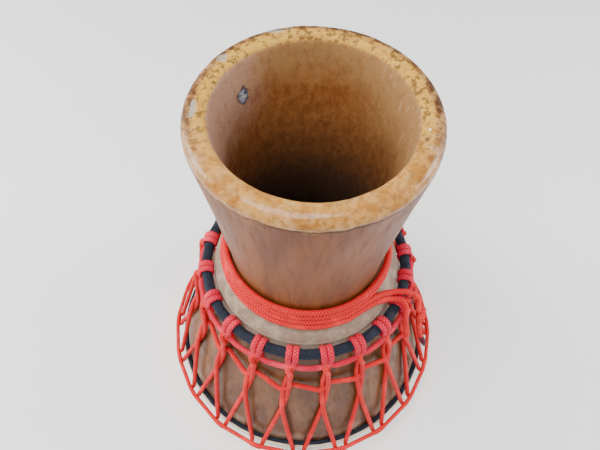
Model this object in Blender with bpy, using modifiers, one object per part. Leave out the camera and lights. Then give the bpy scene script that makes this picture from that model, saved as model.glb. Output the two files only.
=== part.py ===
"""Rope-tuned wooden goblet drum, standing on its head.

The head rests on z = 0, the open foot is at the top, and +Z is the drum's axis.
"""
import math

import bmesh
import bpy
from mathutils import Vector

# Driving sizes, in metres
STEM_LENGTH = 0.1608        # foot rim down to the cord wound round the neck
SHOULDER_HEIGHT = 0.0150    # lowest turn of that cord down to the shoulder's edge
BOWL_HEIGHT = 0.189         # shoulder's edge down to the bearing edge
FOOT_RADIUS = 0.088
FOOT_WALL = 0.018           # wood at the foot's opening
RIM_ROUND = 0.009           # rounding of the foot's outer edge
RIM_BEVEL = 0.0045          # worn slope into the opening
NECK_RADIUS = 0.0685        # outside, at its narrowest
NECK_BORE = 0.051           # inside radius at the neck
SHOULDER_RADIUS = 0.0858
ARRIS_WEAR = 0.0060         # worn rounding between shoulder and bowl
BEARING_RADIUS = 0.133      # outside of the bowl at the head
BOWL_WALL = 0.0105
BEARING_WALL = 0.007
BEARING_ROUND = 0.0045      # rounding of the bearing edge's outside

SKIN = 0.0012               # goatskin
SKIN_RISE = 0.0235          # how far the skin runs up the bowl's side
SKIN_TURN = 0.0085          # rounding of the skin over the bearing edge
ROLL_RADIUS = 0.0026        # the skin rolled over its hoop
HEAD_RING_RADIUS = 0.0022   # cloth-covered ring at the head, its section
NECK_RING_RADIUS = 0.00475  # cloth-wrapped ring at the shoulder, its section

CORD = 0.0055               # braided cord
LOOPS = 20                  # loops round the head, and as many hitches
HITCH_WIDTH = 0.0104        # two turns of cord side by side
HITCH_THICKNESS = 0.0032    # the cord flattened where it is pulled round the ring
NECK_RING_DROP = 0.0035     # its middle below the shoulder's edge
PINCH = 0.0018              # cord squeezed between ring and shoulder
LINE_ANGLE = math.radians(-61)   # from the ring down to the cord between hitches
LINE_CLEAR = 0.0085         # bowl seen between that cord and the ring
HITCH_SLIDE = math.radians(4.5)  # how far the front hitches are pulled round the ring
HITCH_LAG = math.radians(1)      # all the hitches turned back from the loops' middles
LOOP_FLAT = 0.0078          # straight bit of the crown cord under each loop
CROWN_STANDOFF = 0.0073     # crown cord's middle beyond the roll of skin
CROWN_RISE = 0.0060         # and above it
WEAVE_DROP = 0.058          # shoulder's edge down to the woven row
CROSS_DROP = 0.092          # shoulder's edge down to where two strands cross
NECK_TURNS = 1.62           # turns of the doubled cord round the neck
NECK_LEAVE = math.radians(-60)   # where the doubled cord leaves the neck
KNOT_RADIUS = 0.0052
GAP = 0.0003                # kept between pieces that touch
TOUCH = CORD + GAP          # between the middles of two cords that touch

# Levels, from the table up
BEARING_Z = SKIN + GAP
ARRIS_Z = BEARING_Z + BOWL_HEIGHT
COIL_LOW_Z = ARRIS_Z + SHOULDER_HEIGHT
COIL_TOP_Z = COIL_LOW_Z + 4 * TOUCH
FOOT_Z = COIL_TOP_Z + STEM_LENGTH

STEP = math.tau / LOOPS
FRONT = -math.pi / 2
TURNED_STEPS = 28

WOOD = ("carved_wood", (0.36, 0.19, 0.09), 0.45)
HIDE = ("goatskin", (0.72, 0.65, 0.48), 0.6)
CLOTH = ("black_cloth", (0.012, 0.016, 0.03), 0.9)
CORD_RED = ("red_cord", (0.78, 0.05, 0.06), 0.6)


def clear_scene():
    for thing in list(bpy.data.objects):
        bpy.data.objects.remove(thing)


def make_collection(name):
    group = bpy.data.collections.new(name)
    bpy.context.scene.collection.children.link(group)
    return group


def make_material(look):
    name, colour, roughness = look
    material = bpy.data.materials.get(name)
    if material:
        return material
    material = bpy.data.materials.new(name)
    material.use_nodes = True
    shader = material.node_tree.nodes["Principled BSDF"]
    shader.inputs["Base Color"].default_value = (*colour, 1)
    shader.inputs["Roughness"].default_value = roughness
    shader.inputs["Metallic"].default_value = 0
    return material


def place(name, data, look, group):
    thing = bpy.data.objects.new(name, data)
    data.materials.append(make_material(look))
    group.objects.link(thing)
    return thing


def polar(radius, angle, z):
    return Vector((radius * math.cos(angle), radius * math.sin(angle), z))


def smooth_through(stations, pieces):
    """Catmull-Rom curve through the stations, as a list of points."""
    ends = [2 * stations[0] - stations[1]] + stations + [2 * stations[-1] - stations[-2]]
    points = []
    for a, b, c, d in zip(ends, ends[1:], ends[2:], ends[3:]):
        for i in range(pieces):
            t = i / pieces
            points.append(
                0.5 * (2 * b + (c - a) * t + (2 * a - 5 * b + 4 * c - d) * t * t
                       + (3 * b - a - 3 * c + d) * t ** 3)
            )
    return points + [stations[-1]]


def arc(centre, radius, start, end, pieces):
    """Arc in the profile's plane, by angles in degrees; 0 points outwards, 90 up."""
    points = []
    for i in range(pieces + 1):
        angle = math.radians(start + (end - start) * i / pieces)
        points.append(centre + radius * Vector((math.cos(angle), math.sin(angle))))
    return points


def turned(name, profile, look, group):
    """Solid of revolution of a closed profile of (radius, height) points."""
    mesh = bpy.data.meshes.new(name)
    edges = [(i, (i + 1) % len(profile)) for i in range(len(profile))]
    mesh.from_pydata([(p.x, 0, p.y) for p in profile], edges, [])
    thing = place(name, mesh, look, group)
    screw = thing.modifiers.new("Turn", "SCREW")
    screw.steps = TURNED_STEPS
    screw.render_steps = TURNED_STEPS
    screw.use_merge_vertices = True
    screw.merge_threshold = 0.00005
    screw.use_smooth_shade = True
    return thing


def cord(name, points, group, closed=False, swell=None, rounding=1):
    """Round cord along points; swell gives each point's share of the thickness."""
    curve = bpy.data.curves.new(name, "CURVE")
    curve.dimensions = "3D"
    curve.bevel_depth = CORD / 2
    curve.bevel_resolution = rounding
    curve.use_fill_caps = not closed
    spline = curve.splines.new("POLY")
    spline.points.add(len(points) - 1)
    spline.use_cyclic_u = closed
    for i, point in enumerate(points):
        spline.points[i].co = (*point, 1)
        spline.points[i].radius = swell[i] if swell else 1
    return place(name, curve, CORD_RED, group)


def made_mesh(thing, group):
    """The same piece as a mesh with its caps welded, for a Boolean."""
    bpy.context.view_layer.update()
    graph = bpy.context.evaluated_depsgraph_get()
    mesh = bpy.data.meshes.new_from_object(thing.evaluated_get(graph))
    shape = bmesh.new()
    shape.from_mesh(mesh)
    bmesh.ops.remove_doubles(shape, verts=shape.verts, dist=0.00001)
    bmesh.ops.recalc_face_normals(shape, faces=shape.faces)
    shape.to_mesh(mesh)
    shape.free()
    name = thing.name
    made = bpy.data.objects.new(name, mesh)
    made.matrix_world = thing.matrix_world
    group.objects.link(made)
    bpy.data.objects.remove(thing)
    made.name = name
    return made


def join_with(thing, guide):
    """Union of a piece and a guide that it really touches."""
    guide.hide_render = True
    guide.display_type = "WIRE"
    union = thing.modifiers.new("Join", "BOOLEAN")
    union.operation = "UNION"
    union.solver = "EXACT"
    union.object = guide


# The shell's outline, from the foot down to the bearing edge
def outer_outline():
    stem_drop = STEM_LENGTH + 4 * TOUCH
    taper = FOOT_RADIUS - NECK_RADIUS
    stem = [
        Vector((FOOT_RADIUS, FOOT_Z - RIM_ROUND)),
        Vector((NECK_RADIUS + 0.50 * taper, FOOT_Z - 0.42 * stem_drop)),
        Vector((NECK_RADIUS + 0.10 * taper, FOOT_Z - 0.74 * stem_drop)),
        Vector((NECK_RADIUS, COIL_TOP_Z + 0.5 * TOUCH)),
    ]
    flare = SHOULDER_RADIUS - NECK_RADIUS
    shoulder = [
        Vector((NECK_RADIUS + 0.30 * flare, COIL_LOW_Z)),
        Vector((SHOULDER_RADIUS - 0.67 * ARRIS_WEAR, ARRIS_Z + ARRIS_WEAR)),
        Vector((SHOULDER_RADIUS - 0.10 * ARRIS_WEAR, ARRIS_Z + 0.20 * ARRIS_WEAR)),
    ]
    swell = BEARING_RADIUS - SHOULDER_RADIUS
    bowl = [
        Vector((SHOULDER_RADIUS + share * swell, ARRIS_Z - drop * BOWL_HEIGHT))
        for share, drop in (
            (0.004, 0.012),
            (0.030, 0.070),
            (0.120, 0.150),
            (0.335, 0.285),
            (0.555, 0.450),
            (0.775, 0.620),
            (0.950, 0.780),
            (1.000, 0.900),
        )
    ]
    return stem + shoulder + smooth_through(bowl, 2)


OUTLINE = outer_outline()


def shell_radius(z):
    """Outside radius of the wood at a height."""
    for upper, lower in zip(OUTLINE, OUTLINE[1:]):
        if lower.y <= z <= upper.y:
            share = (upper.y - z) / (upper.y - lower.y)
            return upper.x + share * (lower.x - upper.x)
    return OUTLINE[0].x if z > OUTLINE[0].y else OUTLINE[-1].x


def beside_shell(z, radius):
    """Least radius at which a round section at a height clears the wood by GAP."""
    reach = radius + GAP
    least = 0
    for i in range(-8, 9):
        lift = reach * i / 8
        least = max(least, shell_radius(z + lift) + math.sqrt(reach * reach - lift * lift))
    return least


def make_shell(group):
    bore = FOOT_RADIUS - FOOT_WALL
    corner = Vector((FOOT_RADIUS - RIM_ROUND, FOOT_Z - RIM_ROUND))
    rim = [Vector((bore + RIM_BEVEL, FOOT_Z))] + arc(corner, RIM_ROUND, 90, 18, 4)
    toe = [
        Vector((BEARING_RADIUS - 0.11 * BEARING_ROUND, BEARING_Z + BEARING_ROUND)),
        Vector((BEARING_RADIUS - 0.62 * BEARING_ROUND, BEARING_Z + 0.16 * BEARING_ROUND)),
        Vector((BEARING_RADIUS - 0.86 * BEARING_WALL, BEARING_Z)),
        Vector((BEARING_RADIUS - 1.14 * BEARING_WALL, BEARING_Z + 0.56 * BEARING_ROUND)),
    ]
    inside = [
        Vector((shell_radius(0.12 * ARRIS_Z) - BOWL_WALL, 0.12 * ARRIS_Z)),
        Vector((shell_radius(0.50 * ARRIS_Z) - BOWL_WALL, 0.50 * ARRIS_Z)),
        Vector((shell_radius(0.80 * ARRIS_Z) - 1.5 * BOWL_WALL, 0.80 * ARRIS_Z)),
        Vector((NECK_BORE + 0.30 * (SHOULDER_RADIUS - NECK_RADIUS), ARRIS_Z + 0.25 * SHOULDER_HEIGHT)),
        Vector((NECK_BORE, COIL_TOP_Z)),
        Vector((NECK_BORE + 0.35 * (bore - NECK_BORE), COIL_TOP_Z + 0.45 * STEM_LENGTH)),
        Vector((bore, FOOT_Z - RIM_BEVEL)),
    ]
    return turned("shell", rim + OUTLINE + toe + inside, WOOD, group)


def roll_centre():
    height = BEARING_Z + SKIN_RISE + ROLL_RADIUS
    return Vector((beside_shell(height, ROLL_RADIUS), height))


def make_skin(group):
    inner = BEARING_RADIUS + GAP
    outer = inner + SKIN
    centre = roll_centre()
    outside = arc(centre, ROLL_RADIUS, 195, -62, 5)
    side = [
        Vector((outer, BEARING_Z + 0.88 * SKIN_RISE)),
        Vector((outer, SKIN_TURN)),
        Vector((outer - 0.21 * SKIN_TURN, 0.35 * SKIN_TURN)),
        Vector((outer - 0.73 * SKIN_TURN, 0.0)),
    ]
    bottom = [Vector((0.5 * outer, 0.0)), Vector((0.0, 0.0))]
    top = [Vector((0.0, SKIN)), Vector((0.5 * outer, SKIN))]
    up = [
        Vector((inner - 0.47 * SKIN_TURN, SKIN)),
        Vector((inner - 0.12 * SKIN_TURN, 0.47 * SKIN_TURN)),
        Vector((inner, 1.12 * SKIN_TURN)),
    ]
    return turned("skin_head", outside + side + bottom + top + up, HIDE, group)


def make_head_ring(group):
    centre = roll_centre()
    height = centre.y + ROLL_RADIUS + HEAD_RING_RADIUS + GAP
    centre = Vector((beside_shell(height, HEAD_RING_RADIUS), height))
    return turned("head_ring", arc(centre, HEAD_RING_RADIUS, 60, -300, 6)[:-1], CLOTH, group)


def neck_ring_centre():
    height = ARRIS_Z - NECK_RING_DROP
    return Vector((beside_shell(height, NECK_RING_RADIUS + GAP + PINCH), height))


def make_neck_ring(group):
    section = arc(neck_ring_centre(), NECK_RING_RADIUS, 90, -270, 7)[:-1]
    return turned("neck_ring", section, CLOTH, group)


def running_line():
    """Middle of the cord that runs from hitch to hitch."""
    centre = neck_ring_centre()
    reach = NECK_RING_RADIUS + LINE_CLEAR + CORD / 2
    return centre + reach * Vector((math.cos(LINE_ANGLE), math.sin(LINE_ANGLE)))


def column_angle(index, share):
    """Between two loops, with a share of the hitch's slide round the ring."""
    middle = (index + 0.5) * STEP
    return FRONT + middle + share * (HITCH_SLIDE * math.cos(middle) - HITCH_LAG)


def make_ring_cord(group, guides):
    """Two turns round the ring at each hitch, and the cord between the hitches."""
    line = running_line()
    points = [polar(line.x, column_angle(i, 1), line.y) for i in range(LOOPS)]
    run = made_mesh(cord("neck_ring_cord", points, group, closed=True), group)

    centre = neck_ring_centre()
    around = 9
    inner = (NECK_RING_RADIUS + 2 * GAP) / math.cos(math.pi / around)
    tip = NECK_RING_RADIUS + LINE_CLEAR + 0.85 * CORD
    shape = bmesh.new()
    for i in range(LOOPS):
        spot = column_angle(i, 1)
        rings = []
        for side in (-1, 1):
            for edge in (0, 1):
                ring = []
                for j in range(around):
                    turn = LINE_ANGLE + math.tau * j / around
                    reach = inner + edge * HITCH_THICKNESS
                    if edge and j == 0:
                        reach = tip
                    height = centre.y + reach * math.sin(turn)
                    radius = max(centre.x + reach * math.cos(turn), shell_radius(height) + 4 * GAP)
                    ring.append(shape.verts.new(polar(radius, spot + side * 0.5 * HITCH_WIDTH / centre.x, height)))
                rings.append(ring)
        left_in, left_out, right_in, right_out = rings
        for j in range(around):
            k = (j + 1) % around
            for a, b in ((left_out, right_out), (right_in, left_in), (left_in, left_out), (right_out, right_in)):
                shape.faces.new((a[j], a[k], b[k], b[j]))
    bmesh.ops.recalc_face_normals(shape, faces=shape.faces)
    mesh = bpy.data.meshes.new("hitch_turns")
    shape.to_mesh(mesh)
    shape.free()
    turns = place("hitch_turns", mesh, CORD_RED, guides)
    join_with(run, turns)
    return run


def crown_line():
    """Middle of the cord round the head, at the end of a loop's straight bit."""
    centre = roll_centre()
    return Vector((centre.x + ROLL_RADIUS + CROWN_STANDOFF, centre.y + CROWN_RISE))


def make_crown_cord(group):
    line = crown_line()
    half = 0.5 * LOOP_FLAT / line.x
    points = []
    for i in range(LOOPS):
        for side in (-1, 1):
            points.append(polar(line.x, FRONT + i * STEP + side * half, line.y))
    return cord("crown_cord", points, group, closed=True)


def make_lacing(group, guides):
    """One cord up and down between crown cord and hitches, with its woven row."""
    crown = crown_line()
    line = running_line()
    apart = 0.58 * TOUCH
    weave_z = ARRIS_Z - WEAVE_DROP
    cross_z = ARRIS_Z - CROSS_DROP
    swap_z = 0.55 * weave_z + 0.45 * cross_z
    near = CORD / 2 + GAP
    far = near + TOUCH
    half = 0.5 * LOOP_FLAT
    top = Vector((line.x + TOUCH, line.y))
    points = []
    for i in range(LOOPS):
        loop = FRONT + i * STEP
        for side, angle in ((1, loop), (-1, loop + STEP)):
            low = [
                (crown.x, side * half, crown.y - 1.06 * TOUCH, angle),
                (crown.x - 0.75 * TOUCH, side * half, crown.y - 0.75 * TOUCH, angle),
                (crown.x - TOUCH, side * half, crown.y - 0.36 * CORD, angle),
                (crown.x - 1.24 * TOUCH, side * (half + 0.15 * CORD), crown.y + 0.73 * CORD, angle),
            ]
            behind = side > 0
            cross = shell_radius(cross_z) + (near if behind else far)
            swap = shell_radius(swap_z) + (near if behind else far)
            weave = shell_radius(weave_z) + (far if behind else near)
            high = [
                (cross, 0.0, cross_z, column_angle(i, 0.3)),
                (swap, side * apart, swap_z, column_angle(i, 0.4)),
                (weave, side * apart, weave_z, column_angle(i, 0.55)),
                (top.x, side * 1.25 * apart, top.y - 0.55 * CORD, column_angle(i, 1)),
                (top.x, side * 0.8 * apart, top.y + 0.55 * CORD, column_angle(i, 1)),
            ]
            strand = [polar(r, a + t / r, z) for r, t, z, a in low + high]
            points += strand if behind else reversed(strand)
    lacing = made_mesh(cord("lacing_cord", points, group, closed=True, rounding=0), group)

    row = []
    for i in range(LOOPS):
        radius = shell_radius(weave_z)
        for side, reach, lift in ((-1, far, 0.0), (1, near, 0.22 * CORD)):
            angle = column_angle(i, 0.55) + side * apart / radius
            row.append(polar(radius + reach, angle, weave_z + lift))
    woven = made_mesh(cord("woven_row", row, guides, closed=True, rounding=0), guides)
    join_with(lacing, woven)
    return lacing


def neck_strand(level):
    """One of the doubled cord's strands round the neck, from where it leaves."""
    pieces = round(20 * NECK_TURNS)
    outset = 1 / math.cos(math.pi / 20)     # straight bits stay clear of the round neck
    points = []
    for i in range(pieces + 1):
        turn = NECK_TURNS * i / pieces
        z = COIL_LOW_Z + (0.5 + level + 2 * turn) * TOUCH
        points.append(polar(outset * beside_shell(z, CORD / 2 + 2 * GAP), NECK_LEAVE - math.tau * turn, z))
    return points


def make_neck_cord(group):
    """Doubled cord wound round the neck, its two strands tied off over the ring."""
    # each point in cord widths off the wood, degrees round, cord widths above the shoulder's edge
    route_low = [
        (0.32, -62.0, 3.25), (0.07, -47.5, 3.00), (0.06, -38.5, 2.49), (0.57, -31.6, 1.91),
        (1.66, -28.1, 1.64), (2.52, -27.3, 1.51), (2.85, -28.1, 1.09), (2.95, -29.2, 0.36),
        (2.82, -29.9, -0.91), (3.09, -30.8, -2.36), (3.14, -31.3, -3.40), (3.25, -32.0, -5.00),
        (3.13, -32.6, -5.90),
    ]
    route_high = [
        (0.16, -62.0, 4.35), (0.03, -47.2, 4.27), (0.14, -37.9, 3.51), (0.81, -30.6, 2.85),
        (1.39, -25.3, 2.15), (2.66, -22.1, 1.82), (3.46, -20.6, 1.18), (3.86, -20.0, 0.09),
        (3.99, -21.2, -1.18), (4.15, -22.1, -2.27), (4.08, -21.6, -3.73), (3.85, -21.2, -5.00),
        (3.40, -20.8, -7.00), (2.78, -20.4, -9.55), (2.51, -20.3, -11.90), (2.75, -20.6, -13.40),
        (3.32, -22.0, -15.20),
    ]
    tail_low, tail_high = (
        [
            polar(beside_shell(ARRIS_Z + z * CORD, CORD / 2) + off * CORD, math.radians(a), ARRIS_Z + z * CORD)
            for off, a, z in route
        ]
        for route in (route_low, route_high)
    )
    lowest = neck_strand(0)
    upper = neck_strand(1)
    points = tail_low[::-1] + lowest[1:] + upper[:0:-1] + tail_high
    swell = [1.0] * len(points)
    swell[0] = 0.8
    swell[-1] = 0.8
    for knot in (6, 7):
        swell[-knot] = 2 * KNOT_RADIUS / CORD
    return cord("neck_cord", points, group, swell=swell)


def main():
    clear_scene()
    drum = make_collection("goblet_drum")
    guides = make_collection("guides")
    make_shell(drum)
    make_skin(drum)
    make_head_ring(drum)
    make_neck_ring(drum)
    make_ring_cord(drum, guides)
    make_crown_cord(drum)
    make_lacing(drum, guides)
    make_neck_cord(drum)


main()
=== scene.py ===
import math
from types import SimpleNamespace

import bpy
import numpy as np
from mathutils import Matrix, Vector


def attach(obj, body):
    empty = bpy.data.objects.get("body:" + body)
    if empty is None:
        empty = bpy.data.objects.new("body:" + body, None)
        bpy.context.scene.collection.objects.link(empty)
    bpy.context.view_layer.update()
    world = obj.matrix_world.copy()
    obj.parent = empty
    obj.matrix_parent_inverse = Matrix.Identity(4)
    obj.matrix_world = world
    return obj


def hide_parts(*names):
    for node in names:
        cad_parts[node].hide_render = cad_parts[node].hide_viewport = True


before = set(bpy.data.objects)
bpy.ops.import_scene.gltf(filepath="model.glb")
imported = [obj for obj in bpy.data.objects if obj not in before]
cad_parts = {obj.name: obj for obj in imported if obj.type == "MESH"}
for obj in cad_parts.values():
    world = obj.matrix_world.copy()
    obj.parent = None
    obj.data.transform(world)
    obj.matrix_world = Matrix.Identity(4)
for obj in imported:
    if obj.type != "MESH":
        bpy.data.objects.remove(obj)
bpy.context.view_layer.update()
bpy.ops.object.select_all(action="DESELECT")
mm = 0.001


# Node helpers

def addNode(tree, kind, inputs=None, **settings):
    made = tree.nodes.new("ShaderNode" + kind)
    for key, value in settings.items():
        setattr(made, key, value)
    feedAll(tree, made, inputs or {})
    return made


def feedAll(tree, made, inputs):
    for key, value in inputs.items():
        feed(tree, made.inputs[key], value)


def feed(tree, socket, value):
    if isinstance(value, bpy.types.NodeSocket):
        tree.links.new(value, socket)
    elif isinstance(value, tuple) and len(value) == 3 and socket.type == "RGBA":
        socket.default_value = (*value, 1)
    else:
        socket.default_value = value


def calc(tree, operation, first, second=0.0, third=0.0, clamp=False):
    made = addNode(tree, "Math", operation=operation, use_clamp=clamp)
    for socket, value in zip(made.inputs, (first, second, third)):
        feed(tree, socket, value)
    return made.outputs[0]


def times(tree, first, second):
    return calc(tree, "MULTIPLY", first, second)


def between(tree, value, low, high, start=0.0, end=1.0):
    made = addNode(tree, "MapRange", interpolation_type="SMOOTHSTEP")
    for socket, number in zip(made.inputs, (value, low, high, start, end)):
        feed(tree, socket, number)
    return made.outputs[0]


def tint(tree, share, first, second):
    made = addNode(tree, "Mix", data_type="RGBA")
    for index, value in ((0, share), (6, first), (7, second)):
        feed(tree, made.inputs[index], value)
    return made.outputs[2]


def level(tree, share, first, second):
    made = addNode(tree, "Mix")
    for index, value in ((0, share), (2, first), (3, second)):
        feed(tree, made.inputs[index], value)
    return made.outputs[0]


def mottle(tree, coords, scale, detail=4.0, rough=0.55, stretch=(1, 1, 1), shift=(0, 0, 0)):
    placed = addNode(tree, "Mapping", {"Vector": coords, "Location": shift, "Scale": stretch})
    made = addNode(tree, "TexNoise", {
        "Vector": placed.outputs[0], "Scale": scale, "Detail": detail, "Roughness": rough})
    return made.outputs["Fac"]


def bump(tree, height, distance, strength=1.0, over=None):
    made = addNode(tree, "Bump", {"Height": height, "Distance": distance, "Strength": strength})
    if over:
        tree.links.new(over, made.inputs["Normal"])
    return made.outputs[0]


def newMaterial(name):
    made = bpy.data.materials.new(name)
    made.use_nodes = True
    tree = made.node_tree
    coords = addNode(tree, "TexCoord")
    return made, tree, tree.nodes["Principled BSDF"], coords


# Modelling helpers

def dress(piece, material, slot, *nodes):
    piece.data.materials.clear()
    piece.data.materials.append(material)
    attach(piece, "root")
    if nodes:
        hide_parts(*nodes)
    return piece


def pickNone():
    bpy.ops.object.select_all(action="DESELECT")


def pickOnly(piece):
    pickNone()
    bpy.context.view_layer.objects.active = piece
    piece.select_set(True)


def vertexPlaces(piece):
    places = np.zeros(len(piece.data.vertices) * 3)
    piece.data.vertices.foreach_get("co", places)
    return places.reshape(-1, 3)


def keepShare(piece, name, share):
    kept = piece.data.attributes.new(name, "FLOAT", "POINT")
    kept.data.foreach_set("value", share.astype(np.float32))


def switchTo(mode):
    bpy.ops.object.mode_set(mode=mode)


def closeMesh():
    # out of edit mode, with normals outwards
    bpy.ops.mesh.select_all(action="SELECT")
    bpy.ops.mesh.normals_make_consistent(inside=False)
    switchTo("OBJECT")
    bpy.ops.object.shade_smooth()


def finishModifier(piece, kind, **settings):
    pickOnly(piece)
    added = piece.modifiers.new(kind.title(), kind)
    for key, value in settings.items():
        setattr(added, key, value)
    bpy.ops.object.modifier_apply(modifier=added.name)


def turnedPiece(name, profile, sides):
    # a ring of vertices pulled along the closed profile, ring by ring, as on a lathe
    pickNone()
    radius, height = profile[0]
    bpy.ops.mesh.primitive_circle_add(vertices=sides, radius=radius, location=(0, 0, 0))
    piece = bpy.context.active_object
    piece.name = piece.data.name = name
    switchTo("EDIT")
    bpy.ops.transform.translate(value=(0, 0, height))
    for nextRadius, nextHeight in profile[1:]:
        bpy.ops.mesh.extrude_edges_move(
            TRANSFORM_OT_translate={"value": (0, 0, nextHeight - height)})
        share = nextRadius / radius
        bpy.ops.transform.resize(value=(share, share, 1), center_override=(0, 0, nextHeight))
        radius, height = nextRadius, nextHeight
    bpy.ops.mesh.select_all(action="DESELECT")
    bpy.ops.mesh.select_mode(type="EDGE")
    bpy.ops.mesh.select_non_manifold()
    bpy.ops.mesh.bridge_edge_loops()
    closeMesh()
    return piece


def smoothThrough(stations, pieces):
    # Catmull-Rom curve through (radius, height) stations
    rows = [np.array(station, float) for station in stations]
    rows = [2 * rows[0] - rows[1]] + rows + [2 * rows[-1] - rows[-2]]
    made = []
    for a, b, c, d in zip(rows, rows[1:], rows[2:], rows[3:]):
        for i in range(pieces):
            t = i / pieces
            made.append(0.5 * (2 * b + (c - a) * t + (2 * a - 5 * b + 4 * c - d) * t * t
                               + (3 * b - a - 3 * c + d) * t ** 3))
    return [tuple(row) for row in made] + [tuple(stations[-1])]


def arcOf(centre, radius, start, end, pieces):
    turns = [math.radians(start + (end - start) * i / pieces) for i in range(pieces + 1)]
    return [(centre[0] + radius * math.cos(t), centre[1] + radius * math.sin(t)) for t in turns]


# Camera, floor and light

# metres, degrees and the lens in mm
cameraPlace = {"at": (-0.00474, -0.26612, 0.6734), "down": 58.0, "lean": -1.81, "turn": -0.47, "lens": 35.148}
floorLook = {"size": 6.0, "colour": (0.90, 0.90, 0.89), "rough": 0.6}
softLights = [
    {"name": "sideLeft", "at": (-1.5, 0.25, 0.70), "size": 0.9, "power": 30.0, "colour": (1.0, 0.985, 0.96)},
    {"name": "sideRight", "at": (1.5, 0.20, 0.62), "size": 0.8, "power": 22.0, "colour": (0.97, 0.98, 1.0)},
    {"name": "above", "at": (-0.25, -0.35, 1.8), "size": 1.2, "power": 46.0, "colour": (1.0, 0.99, 0.97)},
]
studioGlow = {"colour": (0.96, 0.97, 1.0), "strength": 0.62}


def placeCamera():
    down, lean, turn = (math.radians(cameraPlace[key]) for key in ("down", "lean", "turn"))
    look = Vector((math.sin(turn) * math.cos(down), math.cos(turn) * math.cos(down), -math.sin(down)))
    sideways = Vector((math.cos(turn), -math.sin(turn), 0))
    below = look.cross(sideways)
    right = sideways * math.cos(lean) + below * math.sin(lean)
    under = below * math.cos(lean) - sideways * math.sin(lean)
    place = Matrix((right, -under, -look)).transposed().to_4x4()
    place.translation = cameraPlace["at"]
    data = bpy.data.cameras.new("camera")
    data.sensor_fit = "HORIZONTAL"
    data.sensor_width = 36
    data.lens = cameraPlace["lens"]
    data.clip_start = 0.01
    camera = bpy.data.objects.new("camera", data)
    camera.matrix_world = place
    bpy.context.scene.collection.objects.link(camera)
    bpy.context.scene.camera = camera


def placeFloor():
    pickNone()
    bpy.ops.mesh.primitive_plane_add(size=floorLook["size"], location=(0, 0, 0))
    floor = bpy.context.active_object
    floor.name = "floor"
    material, tree, shader, _ = newMaterial("paleFloor")
    feedAll(tree, shader, {"Base Color": floorLook["colour"], "Roughness": floorLook["rough"]})
    floor.data.materials.append(material)


def placeLights():
    for light in softLights:
        data = bpy.data.lights.new(light["name"], "AREA")
        data.shape = "DISK"
        data.size = light["size"]
        data.energy = light["power"]
        data.color = light["colour"]
        lamp = bpy.data.objects.new(light["name"], data)
        lamp.location = light["at"]
        aim = Vector((0, 0, 0.2)) - lamp.location
        lamp.rotation_euler = aim.to_track_quat("-Z", "Y").to_euler()
        bpy.context.scene.collection.objects.link(lamp)
    world = bpy.data.worlds.new("studio")
    world.use_nodes = True
    back = world.node_tree.nodes["Background"]
    back.inputs["Color"].default_value = (*studioGlow["colour"], 1)
    back.inputs["Strength"].default_value = studioGlow["strength"]
    bpy.context.scene.world = world


placeCamera()
placeFloor()
placeLights()
print("camera, floor and light stand")


# The carved shell

shellShape = {
    "sides": 192,
    "foot": 389.5,          # height of the foot's rim, mm
    "rimFlat": (74.5, 79.0),
    "groove": [(87.45, 380.5), (87.9, 379.3)],      # worn line under the lip
    "outer": [(87.7, 377.0), (85.1, 360.0), (81.9, 338.0), (78.3, 312.2), (75.2, 290.0), (72.5, 270.0),
              (70.5, 253.3), (69.1, 241.0), (68.5, 231.7), (68.8, 222.0), (70.6, 212.0), (73.7, 205.5),
              (77.6, 201.2), (81.8, 196.5), (84.3, 193.2), (85.4, 190.6)],
    "bowl": [(85.99, 188.2), (87.2, 177.3), (91.5, 162.2), (101.6, 136.6), (112.0, 105.5), (122.4, 73.3),
             (130.6, 43.1), (133.0, 20.4)],
    "inner": [(126.3, 2.4), (124.6, 6.0), (122.3, 22.9), (114.6, 60.0), (104.9, 95.3), (93.0, 126.0),
              (79.8, 152.4), (66.0, 175.0), (56.6, 194.5), (52.2, 212.0), (51.0, 228.7), (52.4, 250.0),
              (54.6, 275.0), (57.6, 301.1), (61.6, 330.0), (65.9, 358.0), (69.3, 379.0)],
    "halfWall": 8.0,                # further in than this from the outside is the hollow
    "mouth": (12.0, 74.0, 3.0),     # its edge at the rim: depth, radius and softness
    "rimZone": (9.0, 2.5),          # depth and softness
    "cordZone": (205.0, 40.0),      # height and reach of the wood kept true for the cords
    # clouds that wear the wood: name, size and strength in metres, and their zone
    "wobble": [("handCarved", 0.055, 0.0011, "whole"), ("adzeMarks", 0.012, 0.0007, "inside"),
               ("rimWear", 0.009, 0.0006, "rim")],
}


def shellProfile():
    foot = shellShape["foot"]
    low, high = shellShape["rimFlat"]
    rim = [(70.1, foot - 4.4), (71.2, foot - 2.6), (72.6, foot - 1.0), (low, foot - 0.1),
           ((low + high) / 2, foot)]
    rim += arcOf((high, foot - 9.0), 9.0, 90, 6, 8)
    outer = smoothThrough(shellShape["outer"], 2)
    bowl = smoothThrough(shellShape["bowl"], 3)
    toe = [(132.6, 6.0), (131.2, 3.0), (129.6, 1.7), (127.8, 1.5)]
    inner = smoothThrough(shellShape["inner"], 2)
    return [(r * mm, z * mm) for r, z in rim + shellShape["groove"] + outer + bowl + toe + inner]


def outsideRadius(height):
    # the shell's outer radius at a height, both in mm
    stations = shellShape["outer"] + shellShape["bowl"]
    return np.interp(height, [z for r, z in stations][::-1], [r for r, z in stations][::-1])


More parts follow.
